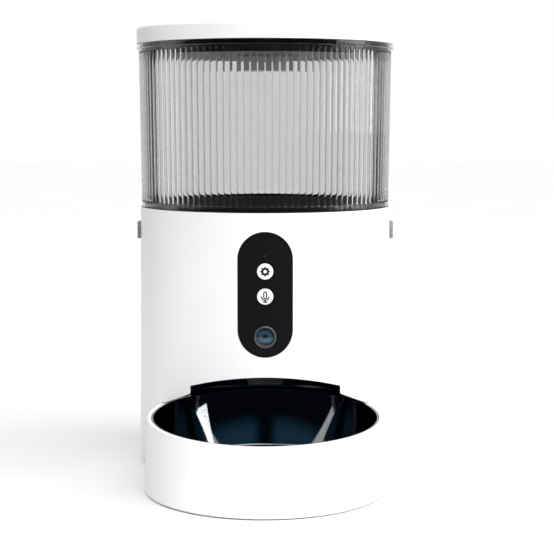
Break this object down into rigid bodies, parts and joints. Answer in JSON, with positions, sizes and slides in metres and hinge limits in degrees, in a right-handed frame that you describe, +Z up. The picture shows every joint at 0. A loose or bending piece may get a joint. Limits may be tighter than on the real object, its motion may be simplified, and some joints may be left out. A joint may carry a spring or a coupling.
{
  "type": "automatic pet feeder",
  "caption": "Round tower pet feeder with a clear fluted lift-off hopper, lid, front panel with camera and buttons, and a bowl in a pull-forward holder under an arched mouth.",
  "frame": {"origin": "middle of the whole footprint on the surface it stands on", "axes": "+Z up, +X to the feeder's left-to-right as seen from the front, front towards -Y"},
  "size_m": [0.1956, 0.279, 0.3304],
  "materials": {
    "white_shell": "satin moulded ABS",
    "black_gloss": "polished black acrylic",
    "dark_plastic": "black moulded ABS",
    "navy_plastic": "dark blue-black polished ABS",
    "grey_plastic": "mid-grey moulded ABS",
    "clear_smoke": "smoky clear styrene, fluted",
    "bowl_steel": "dark mirror-polished stainless steel",
    "steel": "plated steel",
    "brass": "machined brass",
    "rubber": "matt black rubber",
    "silicone": "translucent silicone",
    "seal": "black silicone",
    "board": "green solder-masked board",
    "lens_glass": "coated glass",
    "ring_metal": "anodised aluminium",
    "white_button": "moulded white ABS",
    "light_pipe": "clear acrylic light pipe",
    "gear_plastic": "natural acetal"
  },
  "bodies": {
    "base": {"housing": "white_shell", "base_plate": "white_shell", "base_screws": "steel", "battery_contacts": "steel", "rubber_feet": "rubber", "mouth_liner": "navy_plastic", "chute": "grey_plastic", "food_sensors": "dark_plastic", "dispenser_drum": "dark_plastic", "drum_cover": "dark_plastic", "drum_screws": "steel", "rotor_bearing": "brass", "gearmotor": "steel", "motor_bracket": "steel", "motor_screws": "steel", "hopper_gasket": "seal", "front_panel": "black_gloss", "button_board": "board", "tact_switches": "dark_plastic", "status_light": "light_pipe", "microphone": "steel", "camera_bezel": "ring_metal", "camera_window": "lens_glass", "camera_barrel": "dark_plastic", "camera_lens": "lens_glass", "camera_sensor": "dark_plastic", "main_board": "board", "signal_ribbon": "grey_plastic", "speaker": "dark_plastic", "power_jack": "dark_plastic"},
    "hopper": {"hopper": "clear_smoke", "funnel": "dark_plastic"},
    "lid": {"lid": "white_shell", "lid_liner": "dark_plastic", "lid_seal": "seal", "desiccant_box": "clear_smoke"},
    "rotor": {"rotor": "gear_plastic", "rotor_paddles": "silicone", "agitator": "silicone", "rotor_shaft": "steel", "drive_gear": "gear_plastic"},
    "motor_pinion": {"motor_pinion": "brass"},
    "battery_door": {"battery_door": "white_shell"},
    "bowl_holder": {"bowl_holder": "white_shell", "holder_feet": "rubber"},
    "bowl": {"bowl": "bowl_steel"},
    "release_button_right": {"release_button_right": "grey_plastic"},
    "release_button_left": {"release_button_left": "grey_plastic"},
    "settings_button": {"settings_button": "white_button"},
    "talk_button": {"talk_button": "white_button"}
  },
  "joints": [
    {"name": "hopper_lift", "type": "slide", "parent": "base", "child": "hopper", "axis": [0, 0, 1], "range_m": [0, 0.08]},
    {"name": "lid_lift", "type": "slide", "parent": "hopper", "child": "lid", "axis": [0, 0, 1], "range_m": [0, 0.06]},
    {"name": "release_right_press", "type": "slide", "parent": "base", "child": "release_button_right", "axis": [-1, 0, 0], "range_m": [0, 0.002], "stiffness_N_per_m": 2500},
    {"name": "release_left_press", "type": "slide", "parent": "base", "child": "release_button_left", "axis": [1, 0, 0], "range_m": [0, 0.002], "stiffness_N_per_m": 2500},
    {"name": "settings_press", "type": "slide", "parent": "base", "child": "settings_button", "axis": [0, 1, 0], "range_m": [0, 0.0008], "stiffness_N_per_m": 2500},
    {"name": "talk_press", "type": "slide", "parent": "base", "child": "talk_button", "axis": [0, 1, 0], "range_m": [0, 0.0008], "stiffness_N_per_m": 2500},
    {"name": "rotor_spin", "type": "hinge", "parent": "base", "child": "rotor", "pos_m": [0, 0.0425, 0.14], "axis": [0, 0, 1], "continuous": true},
    {"name": "pinion_spin", "type": "hinge", "parent": "base", "child": "motor_pinion", "pos_m": [0, 0.005, 0.13], "axis": [0, 0, 1], "continuous": true},
    {"name": "holder_slide", "type": "slide", "parent": "base", "child": "bowl_holder", "axis": [0, -1, 0], "range_m": [0, 0.11]},
    {"name": "bowl_lift", "type": "slide", "parent": "bowl_holder", "child": "bowl", "axis": [0, 0, 1], "range_m": [0, 0.001]},
    {"name": "battery_door_drop", "type": "slide", "parent": "base", "child": "battery_door", "axis": [0, 0, -1], "range_m": [0, 0.03]}
  ],
  "couplings": [
    {"joint": "pinion_spin", "follows": "rotor_spin", "ratio": -4}
  ]
}
